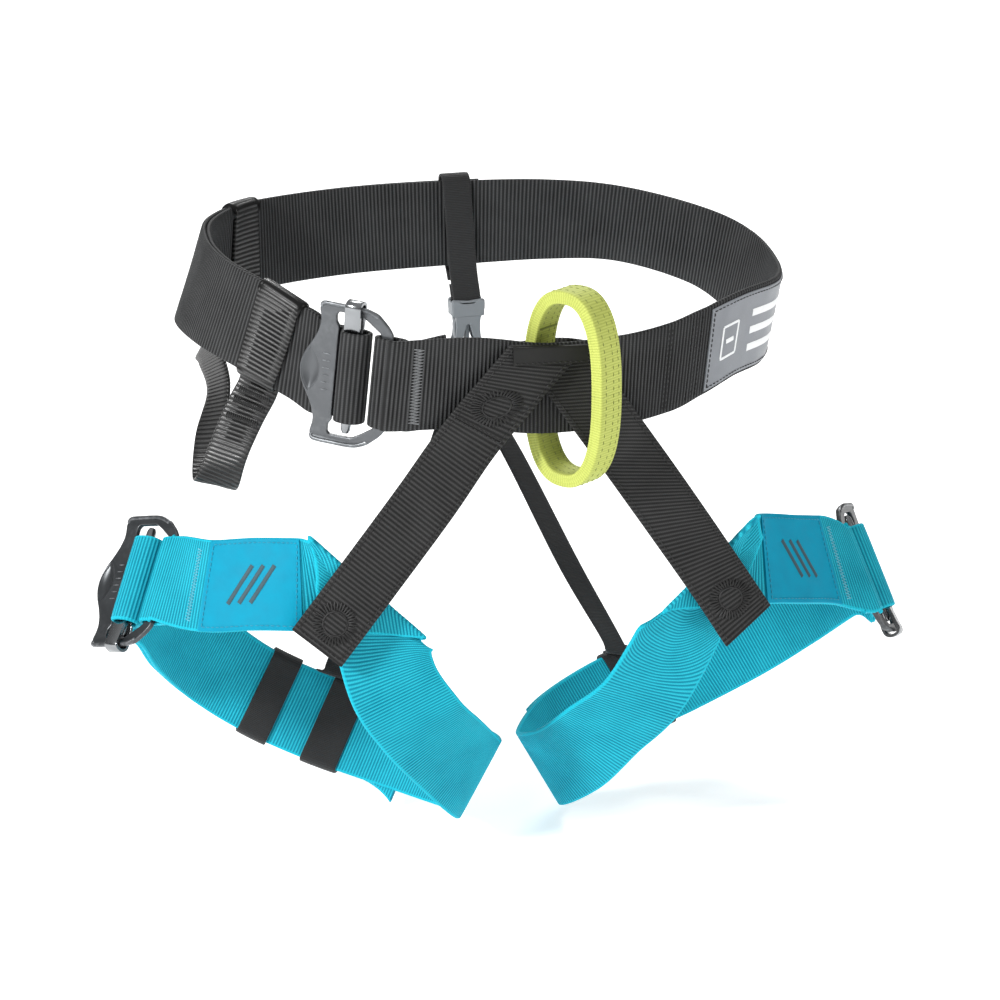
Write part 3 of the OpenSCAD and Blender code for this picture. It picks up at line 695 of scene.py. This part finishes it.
# both ends run on up into the wraps that hold them
gear_ends = [[-126.6, -59, -12.6, -8, 6, 3.4], *gear_path, [-97.5, 87.8, -5.5, 7, 7, 0]]
hem = Strap(hem_path, 9, 1.2)
flap = Strap(flap_path, 33, RISER_T)
tab = Strap(tab_path, 15, ELASTIC_T)
weave_strap("leg_loop_right", leg_right, BLUE, "leg_webbing_right", fold=FOLD)
weave_strap("leg_loop_left", leg_left, BLUE, "leg_webbing_left", fold=FOLD)
weave_strap("leg_free_end_right", tail_right, BLUE, "leg_tail_right")
weave_strap("leg_free_end_left", tail_left, BLUE, "leg_tail_left")
weave_strap("riser_right_strap", riser_r, RISER, "riser_right")
weave_strap("riser_left_strap", riser_l, RISER, "riser_left")
weave_strap("gear_strap", Strap(gear_ends, GEAR_W, GEAR_T), GEAR, "gear_loop", "gear")
weave_strap("tie_in_binding", hem, HEM, "tie_in_hem")
weave_strap("tie_in_backing", flap, RISER, "tie_in_flap")
weave_strap("rear_tab_strap", tab, ELASTIC, "rear_tab")
for side, path, low in [("left", elastic_left_path, [79.2, 23.5, -200.5, 6, 2, -2]),
                        ("right", elastic_right_path, [-65.5, 22, -200.5, -6, 2, 2])]:
    # each riser runs on into its sleeve
    ob = weave_strap("elastic_" + side, Strap([*path, low], ELASTIC_W, ELASTIC_T), ELASTIC,
                     "elastic_riser_" + side)
    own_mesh(ob)

# how far a band round the strap and its free end reaches inward and outward
IN, OUT = -WEB_T / 2 - GAP, WEB_T / 2 + LAYER + GAP
wrap("gear_wrap_front_strap", waist_path, IN, OUT, GEAR_T, FIRST + 18.08, FIRST + 18.85,
     GEAR_WRAP, "harness", "gear_wrap_front", slant=0.17)
wrap("gear_wrap_rear_strap", waist_path, IN, OUT, GEAR_T, FIRST + 14.05, FIRST + 14.47,
     GEAR_WRAP, "harness", "gear_wrap_rear")
# smooth binding over the top fold of both wraps
sh = Shape()
for u0, u1 in ((18.06, 19.03), (14.03, 14.49)):
    c, h, n = rings(waist_path, FIRST + np.linspace(u0, u1, 14), WEB_W)
    depth = (OUT - IN) / 2 + GEAR_T
    at = c + unit(h) * (WEB_W / 2 + 0.5 + GEAR_T - depth) + n * (IN + OUT) / 2
    sh.tube(at, depth + 0.15, sides=28, ends=0.93)
sh.build("gear_wrap_binding", BINDING, "gear_webbing", sharp=80)
for name, path, s, u, du, ease, body, node in [
        ("keeper_band", right_path, -1, 24.65, 0.5, 0.4, "keeper", "keeper_right"),
        ("riser_sleeve_band_right", right_path, -1, 23.68, 0.45, 0, "harness",
         "riser_sleeve_right"),
        ("riser_sleeve_band_left", left_path, 1, 23.2, 0.45, 0, "harness",
         "riser_sleeve_left")]:
    lo, hi = (IN, OUT) if s > 0 else (-OUT, -IN)
    wrap(name, path, lo - ease, hi + ease, ELASTIC_T, u, u + du, ELASTIC, body, node)


# ---- Belay loop ----------------------------------------------------------------------------
class Loop:
    """The stitched ring: a squarish oval in its own plane, turned about the vertical."""

    def __init__(self):
        a = np.linspace(0, 2 * math.pi, 2001)
        c = np.sign(np.cos(a)) * np.abs(np.cos(a)) ** 0.8
        s = np.sign(np.sin(a)) * np.abs(np.sin(a)) ** 0.8
        p = np.stack([-(LOOP_D - LOOP_T) / 2 * c, (LOOP_H - LOOP_T) / 2 * s], 1)
        self.q = p
        self.s = np.concatenate([[0], np.cumsum(np.linalg.norm(np.diff(p, axis=0), axis=1))])
        self.length = self.s[-1]
        k = math.radians(LOOP_TURN)
        self.x = np.array([math.cos(k), math.sin(k), 0])
        self.y = np.array([-math.sin(k), math.cos(k), 0])
        self.z = np.array([0, 0, 1])
        self.o = np.array([13, -117, -12.8])

    def on(self, s):
        """Place in the ring's own plane at the length s along it."""
        return [np.interp(s % self.length, self.s, q) for q in self.q.T]

    def spot(self, s, v, lift=0.0, side=1):
        s, v = np.atleast_1d(s), np.atleast_1d(v)[:, None]
        y, z = self.on(s)
        t = unit(np.stack(self.on(s + 0.6), 1) - np.stack(self.on(s - 0.6), 1))
        mid = self.o + y[:, None] * self.y + z[:, None] * self.z
        out = -t[:, 1:] * self.y + t[:, :1] * self.z
        out = out * np.sign((out * (mid - self.o)).sum(1))[:, None]
        height = side * (LOOP_T / 2 + np.atleast_1d(lift))[:, None]
        return mid + v * self.x + out * height, out * side


loop = Loop()


def loop_mesh():
    pitch, cols = 1.3, 9
    n = int(loop.length / pitch) * ROWS_PER_RIB
    s = np.arange(n) / n * loop.length
    pitch = loop.length / (n / ROWS_PER_RIB)
    face = np.linspace(-7.6, 7.6, cols)
    side_r = np.array([2.95, 2.3, 1.45, 1.2, 0.5, -0.5, -1.2, -1.45, -2.3, -2.95])
    bulge = np.array([8.05, 8.3, 8.1, 7.85, 8.25, 8.25, 7.85, 8.1, 8.3, 8.05])
    v = np.concatenate([face, bulge, face[::-1], -bulge[::-1]])
    r = np.concatenate([np.full(cols, 3.2), side_r, np.full(cols, -3.2), side_r[::-1]])
    k = np.concatenate([np.full(cols, 1.0), np.zeros(10), np.full(cols, -1.0), np.zeros(10)])
    ks = np.concatenate([np.zeros(cols), np.ones(10), np.zeros(cols), -np.ones(10)])
    rows = []
    for i in range(len(v)):
        p, _ = loop.spot(s, v[i], r[i] - LOOP_T / 2 + k[i] * 0.045 * rib(s, pitch))
        p = p + loop.x * (ks[i] * 0.07 * rib(s + 0.4 * pitch * (i % 2), pitch))[:, None]
        rows.append(p)
    p = np.stack(rows, 1)
    run = np.concatenate([[0], np.cumsum(np.hypot(np.diff(v), np.diff(r)))])
    return Shape().loft(p, cloth_uv(s[:, None], run[None]), closed=True)


loop_mesh().build("belay_loop_ring", LIME, "belay_webbing", "belay", ["belay_loop"], sharp=75)
sh = Shape()
for v in (-4.6, 1.2, 5.4):
    for side in (1, -1):
        n = int(loop.length / 3.4)
        for i in range(n):
            s = (i + 0.5 * (v > 0)) * loop.length / n
            p, m = loop.spot([s, s + 1.9], [v, v], -0.05, side)
            dash(sh, p[0], p[1], m[0], 0.15)
# the end of the last layer, tacked down inside the ring
s = loop.s[np.argmin(np.abs(loop.q[:, 1] - 28) + 99 * (loop.q[:, 0] < 0))]
p, m = loop.spot(s + 0.25 * np.tile([-1, 1], 13), np.linspace(-6.6, 6.6, 26), 0.12, -1)
sh.tube(p, 0.36, sides=6, up=m.mean(0))
sh.build("belay_loop_stitching", DARK_THREAD, "belay_webbing", "belay")


# ---- Buckles -------------------------------------------------------------------------------
outer_half = [(-26.0, 0), (-25.4, 4.5), (-23.6, 9), (-20.6, 14), (-18.2, 19), (-17.0, 24),
              (-17.4, 27.5), (-18.4, 31), (-17.2, 33.8), (-14.5, 34.8), (-7, 34.9), (5.2, 34.7),
              (11.5, 32.6), (17.2, 27.6), (20, 23.8), (20.3, 12)]
window_half = [(-7.6, 0), (-7.6, 23.5), (-9.2, 25.6), (-9.3, 29.2), (-8.2, 30.6), (3.2, 30.5),
               (7.2, 28.2), (13.8, 23.6), (14.6, 22.2)]


def mirrored(half):
    """A whole outline from its upper half, which starts and ends near y = 0."""
    return half + [(x, -y) for x, y in half[::-1] if y > 0]


def scoop(shape, side, buckle):
    """The thumb scoop at the plate's rim: a lens-shaped hollow."""
    left = [(-24.9 + 0.036 * y * y, y) for y in np.linspace(-10.7, 10.7, 17)]
    right = [(-16.0 - 0.042 * y * y, y) for y in np.linspace(10.7, -10.7, 17)][1:-1]
    rim = np.array(left + right)
    mid = rim.mean(0)
    rows = []
    for f in (1.12, 1, 0.92, 0.8, 0.65, 0.5, 0.35, 0.2, 0.05):
        z = PLATE_T / 2 - (0.6 if f > 1 else 0.3) - 1.5 * (1 - min(f, 1) ** 2.4)
        q = mid + (rim - mid) * f
        rows.append(np.column_stack([q, np.full(len(q), z)]))
    p = np.stack(rows)
    n, m = p.shape[:2]
    faces = [[i * m + j, i * m + (j + 1) % m, (i + 1) * m + (j + 1) % m, (i + 1) * m + j]
             for i in range(n - 1) for j in range(m)]
    faces.append([(n - 1) * m + j for j in range(m)])
    shape.add(buckle.place(p.reshape(-1, 3)), flipped(faces, side))
    return [tuple(q) for q in rim]


def buckle_frame(name, buckle, mat, node):
    sh, hollow = Shape(), Shape()
    rim = scoop(hollow, buckle.side, buckle)
    outline = rounded(mirrored(outer_half), 1.6, 4)
    win = rounded(mirrored(window_half), 1.0, 4)
    v, f = plate_mesh([outline, win, rim], PLATE_T, 0.55)
    # the long edges of both rails are turned outward
    lip = np.clip((np.abs(v[:, 1]) - 31.6) / 3.2, 0, 1) ** 1.5
    v[:, 2] += 1.3 * lip * np.clip((12 - v[:, 0]) / 8, 0, 1)
    sh.add(buckle.place(v), flipped(f, buckle.side))
    for k in (1, -1):
        edge = np.array([(-17.4, 31.8, 0.6), (-16.4, 33.6, 1.2), (-13.5, 34.1, 1.6),
                         (-7, 34.1, 1.7), (0, 34.1, 1.7), (4.8, 33.8, 1.5), (8.5, 32.7, 1.0),
                         (12, 30.8, 0.5)])
        q, _ = spline(edge, np.linspace(0, len(edge) - 1, 40))
        q[:, 1] *= k
        sh.tube(buckle.place(q), 1.1, sides=10, ends=0.3)
    # six short raised bars beside the window
    for y in (-9, -5.4, -1.8, 1.8, 5.4, 9):
        q = np.array([(x, y, PLATE_T / 2) for x in (-14.4, -12.6, -10.8)])
        sh.tube(buckle.place(q), 0.5, sides=8, ends=0.5, squash=0.6)
    sh.build(name, mat, "frame_steel", "harness", [node], sharp=38)
    hollow.build(name + "_scoop", mat, "frame_steel", sharp=80)


def chrome_bar(name, buckle, body, node, hook):
    """Slide bar: a rod through the rolled webbing, with a hook round one of the two rails."""
    sh = Shape()
    y = np.array([-29, -28.6, -27, -24, 0, 24, 27, 28.6, 29.0])
    r = np.array([0.6, 1.6, 2.3, 2.5, 2.5, 2.5, 2.3, 1.6, 0.6])
    sh.tube(buckle.place(np.column_stack([0 * y, y, 0 * y])), r, sides=16)
    profile = np.array([(18, 0.9), (20.2, 2.0), (22.6, 3.0), (26, 3.6), (31, 4.0), (34.2, 4.5),
                        (36, 3.9), (36.8, 1.8), (36.6, -0.6), (35.2, -2.4), (32.5, -2.9),
                        (27.5, -2.6), (24, -2.0), (21.5, -1.2)])
    t = np.linspace(0, len(profile) - 1, 50)
    q, d = spline(profile, t)
    d = unit(d)
    m = np.stack([-d[:, 1], d[:, 0]], 1)
    width = np.interp(t, [0, 1.6], [2.6, 4.0])
    a, b = np.array([(-1, -0.65), (-0.96, -0.75), (0.96, -0.75), (1, -0.65), (1, 0.65),
                     (0.96, 0.75), (-0.96, 0.75), (-1, 0.65)]).T
    at = q[:, None] + b[:, None] * m[:, None]
    p = buckle.place(np.stack([a * width[:, None], hook * at[..., 0], at[..., 1]], -1))
    sh.loft(p[:, ::hook * buckle.side])
    sh.build(name, CHROME, "chromed_bar", body, [node], sharp=40)


for tag, b, mat, node, body, hook in [
        ("waist", WAIST, STEEL, "waist_frame", "waist_bar", 1),
        ("leg_right", RIGHT, GUNMETAL, "leg_frame_right", "leg_bar_right", -1),
        ("leg_left", LEFT, GUNMETAL, "leg_frame_left", "leg_bar_left", -1)]:
    buckle_frame("buckle_frame_" + tag, b, mat, node)
    chrome_bar("buckle_bar_" + tag, b, body, node.replace("frame", "slide_bar"), hook)


# ---- Side-release buckle -------------------------------------------------------------------
def solid(shape, outlines, depth, bevel, put):
    v, f = plate_mesh(outlines, depth, bevel)
    p = PLUG_AT + np.array([put(*q) for q in v])
    e = [np.subtract(put(*q), put(0, 0, 0)) for q in np.eye(3)]
    side = np.sign(np.dot(np.cross(e[0], e[1]), e[2]))
    shape.add(p, flipped(f, side))


def upright(a, b, c):
    return a, c, b


def box2(x0, y0, x1, y1, r):
    return rounded([(x0, y0), (x1, y0), (x1, y1), (x0, y1)], r)


wall = [(0, -13.6), (-0.8, -14.2), (-2.6, -20), (-5.2, -27.4), (-6, -28), (-8.2, -28),
        (-8.8, -27.4), (-8.6, -24.8), (-6.9, -21), (-6.3, -15), (-6.8, -10.4), (-8.8, -6.6),
        (-9, -5), (-9, -1.4), (-8.2, -0.3), (-5, -0.6), (0, -1.2)]
whole_wall = wall + [(-x, z) for x, z in wall[-2:0:-1]]
sh = Shape()
for y in (-3.5, 3.5):
    solid(sh, [rounded(whole_wall, 0.7, 3)], 1.6, 0.45, lambda a, b, c, y=y: (a, y + c, b))
solid(sh, [box2(-9, -4.3, 9, 4.3, 1.6), box2(-7.8, -2.7, 7.8, 2.7, 0.8)], 7.4, 0.5,
      lambda a, b, c: (a, b, c - 5.2))
for k in (-1, 1):
    solid(sh, [box2(-0.7, -4, 0.7, 4, 0.5)], 4.2, 0.3,
          lambda a, b, c, k=k: (8.1 * k + a, b, c - 25.8))
cover = [(-8.6, -9.4), (-8.6, -1.2), (-5.6, -0.6), (-3.4, -2.6), (3.4, -2.6), (5.6, -0.6),
         (8.6, -1.2), (8.6, -9.4)]
for k in (-1, 1):
    solid(sh, [rounded(cover, 1.0)], 0.9, 0.35, lambda a, b, c, k=k: (a, 4.3 * k + c, b))
sh.tube(PLUG_AT + np.array([(x, 0, -3.8) for x in (-8.3, 0, 8.3)]), 1.3, sides=12)
sh.build("release_socket_body", PLASTIC, "buckle_plastic", "harness", ["release_socket"], sharp=40)

sh = Shape()
solid(sh, [box2(-8.7, -34.3, 8.7, -28.5, 1.2)], 8.0, 0.8, upright)
tongue = [(-1.2, -29), (-1.1, -12), (-0.5, -10), (0.5, -10), (1.1, -12), (1.2, -29)]
solid(sh, [rounded(tongue, 0.5)], 4.0, 0.4, upright)
solid(sh, [box2(-8.7, -43, 8.7, -33.8, 1.6), box2(-7, -40.9, 7, -35.9, 0.8)], 6.0, 0.8, upright)
for z in (-30, -31.5, -33):
    sh.tube(PLUG_AT + np.array([(x, -4.0, z) for x in (-6, 0, 6)]), 0.35, sides=6, ends=0.4)
sh.build("release_plug_body", PLASTIC, "buckle_plastic", "plug", ["release_plug"], sharp=40)
arm = [(4.6, -28), (6.4, -28), (6.6, -22), (7.1, -18), (7.2, -13.4), (6.4, -11), (5.2, -11),
       (4.9, -14), (5, -20)]
for k, tag in ((1, "left"), (-1, "right")):
    sh = Shape()
    solid(sh, [rounded(arm, 0.8)], 4.0, 0.4, lambda a, b, c, k=k: (k * a, c, b))
    p = PLUG_AT + np.array([(k * 5.5, y, -28.4) for y in (-2, 0, 2)])
    sh.tube(p, 1.25, sides=14)
    sh.build("release_arm_spring_" + tag, PLASTIC, "buckle_plastic", "plug_arm_" + tag,
             ["release_arm_" + tag], sharp=40)


# ---- Labels --------------------------------------------------------------------------------
def label(name, st, mat, node, slot):
    sh = Shape()
    s = np.linspace(0, st.length, int(st.length / 1.5))
    c, h, nn = st.at(s)
    v, z, _ = section(st.w, st.t, 25, 0.35)
    puff = 0.12 * np.sin(2 * np.pi * s / 17.0)[:, None] * np.cos(v * 4.2) * (np.sign(z) + 1) / 2
    height = st.off + z[None] + puff
    p = c[:, None] + h[:, None] * v[None, :, None] + nn[:, None] * height[..., None]
    sh.loft(p, cloth_uv(s[:, None], v[None] * st.w / 2))
    ob = sh.build(name, mat, slot, "harness", [node])


waist_label = Strap(waist_path, WEB_W - 4, LABEL_T, (WEB_T + LABEL_T) / 2 + 0.15,
                    FIRST + 4.1, FIRST + 7)
label_right = Strap(right_path, WEB_W - 1, LABEL_T, (WEB_T + LABEL_T) / 2 + 0.2, 8, 10.28)
label_left = Strap(left_path, WEB_W - 1, LABEL_T, -(WEB_T + LABEL_T) / 2 - 0.2, 8, 10.28)
label("waist_label_cloth", waist_label, LABEL_GREY, "waist_label", "waist_label")
label("leg_label_cloth_right", label_right, LABEL_BLUE, "leg_label_right", "leg_label")
label("leg_label_cloth_left", label_left, LABEL_BLUE, "leg_label_left", "leg_label")


def mark(shape, st, points, r, side=1, closed=False):
    """A flat printed or woven line on a label, through points (s, v)."""
    q = np.array(points, float)
    t = np.linspace(0, len(q) - 1 + closed, 12 * len(q))
    if closed:
        q = np.vstack([q, q[0]])
    line = np.stack([np.interp(t, np.arange(len(q)), q[:, k]) for k in (0, 1)], 1)
    p, n = st.spot(line[:, 0], line[:, 1], 0.1, side)
    d = unit(np.gradient(p, axis=0))
    x = np.cross(n, d)
    a = np.arange(8) * math.pi / 4
    rows = (p[:, None] + r * x[:, None] * np.cos(a)[None, :, None]
            + 0.12 * n[:, None] * np.sin(a)[None, :, None])
    shape.loft(rows)


sh = Shape()
c = waist_label.length
mark(sh, waist_label, [(10, 8), (22, 8), (22, -8), (10, -8)], 0.7, closed=True)
mark(sh, waist_label, [(13, 0), (19, 0)], 1.2)
for v in (9, 0, -9):
    mark(sh, waist_label, [(34, v), (c - 12, v)], 1.9)
sh.build("waist_label_mark", MARK_WHITE, "waist_label")
for tag, st, side in (("right", label_right, 1), ("left", label_left, -1)):
    sh = Shape()
    for k in (-1, 0, 1):
        m = st.length / 2
        mark(sh, st, [(m - 5 + 6 * k, -9), (m + 5 + 6 * k, 9)], 1.1, side)
    sh.build("leg_label_mark_" + tag, MARK_DARK, "leg_label")


# ---- Stitching -----------------------------------------------------------------------------
def border(shape, st, inset, side, pitch=2.6, r=0.22):
    s0, s1, v = inset, st.length - inset, st.w / 2 - inset
    for a, b in (((s0, v), (s1, v)), ((s0, -v), (s1, -v)),
                 ((s0, -v), (s0, v)), ((s1, -v), (s1, v))):
        seam(shape, st, a, b, pitch, side, r=r)


sh = Shape()
border(sh, waist_label, 1.6, 1)
for u in (3.85, 3.55, 3.7, 2.9, 2.97):
    s = belt.s_of(FIRST + u)
    seam(sh, belt, (s, -20), (s, 20), 2.4)
sh.build("belt_stitching", BLACK_THREAD, "belt_webbing")
sh = Shape()
s = belt.s_of(FIRST - 0.66)
zigzag(sh, belt, (s, -19), (s, 19), 5.2, 25)
sh.build("belt_bar_tack", GREY_THREAD, "belt_webbing")

sh = Shape()
border(sh, label_right, 2.0, 1)
border(sh, label_left, 2.0, -1)
sh.build("leg_label_stitching", BLUE_THREAD, "leg_label")
sh = Shape()
for st, side in ((leg_right, 1), (leg_left, -1)):
    s = st.s_of(7.75)
    zigzag(sh, st, (s, -18), (s, 18), 3.0, 24, side)
sh.build("leg_bar_tacks", PALE_THREAD, "leg_webbing")

sh = Shape()
for st, side, far in ((riser_r, -1, 15), (riser_l, 1, 18)):
    for v in (-12.6, 12.6):
        seam(sh, st, (3, v), (st.length - 2, v), 3.0, side, r=0.3)
    seam(sh, st, (st.length - 2.2, -12), (st.length - 2.2, 12), 2.6, side, r=0.3)
    ring_tack(sh, st, st.length - far, 0, 6.5, 11, 38, side=side, r=0.42)
ring_tack(sh, riser_r, riser_r.s_of(1.36), 0, 6.5, 11, 38, side=-1, r=0.42)
for s in (52, 53.2):
    seam(sh, riser_r, (s, -12.5), (s, 12.5), 2.4, -1, r=0.34)
sh.build("riser_stitching", BLACK_THREAD, "belt_webbing")
sh = Shape()
seam(sh, hem, (1, -3.4), (hem.length - 1, -3.4), 2.6)
sh.build("tie_in_stitching", BLACK_THREAD, "belt_webbing")
sh = Shape()
for s in (3, 9, 17):
    zigzag(sh, gear, (s, -8.5), (s, 8.5), 3.4, 16, -1, r=0.4)
sh.build("gear_bar_tacks", BLACK_THREAD, "gear_webbing", "gear")


# ---- Floor, lights and camera --------------------------------------------------------------
FLOOR_Z, FLOOR_R = -0.262, 20
me = bpy.data.meshes.new("floor")
corners = ((-1, -1), (1, -1), (1, 1), (-1, 1))
me.from_pydata([(x * FLOOR_R, y * FLOOR_R, FLOOR_Z) for x, y in corners], [], [(0, 1, 2, 3)])
floor = new_object("floor", me)
n = Nodes("floor_paper")
grain = n.noise(300, 3)
n.set(Base_Color=n.mix(grain, (0.93, 0.93, 0.93), (0.95, 0.95, 0.95)), Roughness=0.9,
      Emission_Color=(1, 1, 1), Emission_Strength=0.5)
me.materials.append(n.mat)

world = bpy.data.worlds.new("studio")
bpy.context.scene.world = world
world.use_nodes = True
tree = world.node_tree
tree.nodes["Background"].inputs[0].default_value = (1, 1, 1, 1)
coord, axes, fade = (tree.nodes.new("ShaderNode" + k)
                     for k in ("TexCoord", "SeparateXYZ", "MapRange"))
tree.links.new(coord.outputs["Generated"], axes.inputs[0])
tree.links.new(axes.outputs[2], fade.inputs["Value"])
for k, value in (("From Min", 0.0), ("From Max", 1.0), ("To Min", 0.12), ("To Max", 0.6)):
    fade.inputs[k].default_value = value
tree.links.new(fade.outputs[0], tree.nodes["Background"].inputs[1])


def lamp(name, at, target, size, power):
    data = bpy.data.lights.new(name, "AREA")
    data.shape, data.size, data.energy = "DISK", size, power
    ob = new_object(name, data)
    ob.location = at
    ob.rotation_euler = (Vector(target) - Vector(at)).to_track_quat("-Z", "Y").to_euler()


lamp("key", (-2.3, -1.1, 1.3), (0, 0, -0.05), 0.5, 75)
lamp("fill", (2.0, -1.7, 0.8), (0, 0, -0.1), 1.0, 17)
lamp("back", (0.6, 2.0, 1.8), (0, 0, 0), 0.8, 32)

cam = bpy.data.cameras.new("camera")
cam.lens, cam.sensor_width, cam.clip_end = 172.8, 36, 100
ob = new_object("camera", cam)
ob.matrix_world = Matrix(((0.96126, 0.08059, -0.26359, -0.6309),
                          (-0.27564, 0.28105, -0.91926, -2.2367),
                          (0, 0.95630, 0.29237, 0.6075), (0, 0, 0, 1)))
bpy.context.scene.camera = ob
bpy.context.scene.view_settings.view_transform = "Standard"
